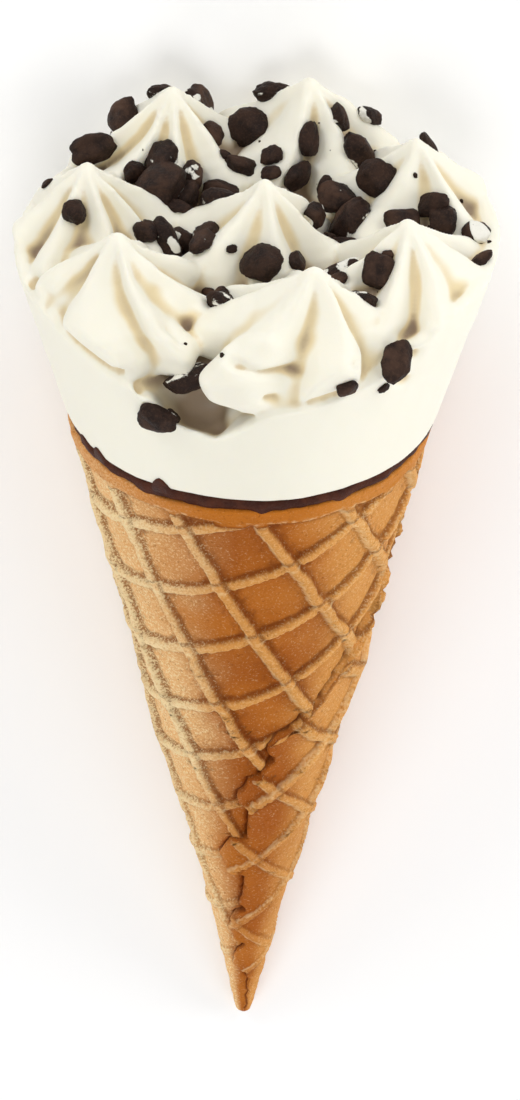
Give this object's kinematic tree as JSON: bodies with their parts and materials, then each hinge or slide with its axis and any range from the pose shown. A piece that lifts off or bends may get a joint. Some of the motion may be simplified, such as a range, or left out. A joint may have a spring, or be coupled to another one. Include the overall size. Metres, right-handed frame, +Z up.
{
  "type": "filled waffle ice cream cone with piped rosettes",
  "caption": "Rolled waffle cone lined with dark chocolate and filled with vanilla ice cream, piped on top in star rosettes with small pieces of dark chocolate, lying on its back.",
  "frame": {"origin": "centre of the bounding box in plan, at the surface that the cone lies on", "axes": "+Z up, the side that the picture shows on top; +Y from the cone's point towards its head; +X to the cone's right as the picture shows it"},
  "size_m": [0.0654, 0.1462, 0.0617],
  "materials": {
    "waffle": "baked wafer, dry and finely grained, golden brown",
    "chocolate": "dark chocolate, satin",
    "ice_cream": "vanilla ice cream, frozen, satin, creamy white"
  },
  "bodies": {
    "root": {"waffle_cone": "waffle", "chocolate_lining": "chocolate", "ice_cream": "ice_cream"}
  },
  "joints": []
}
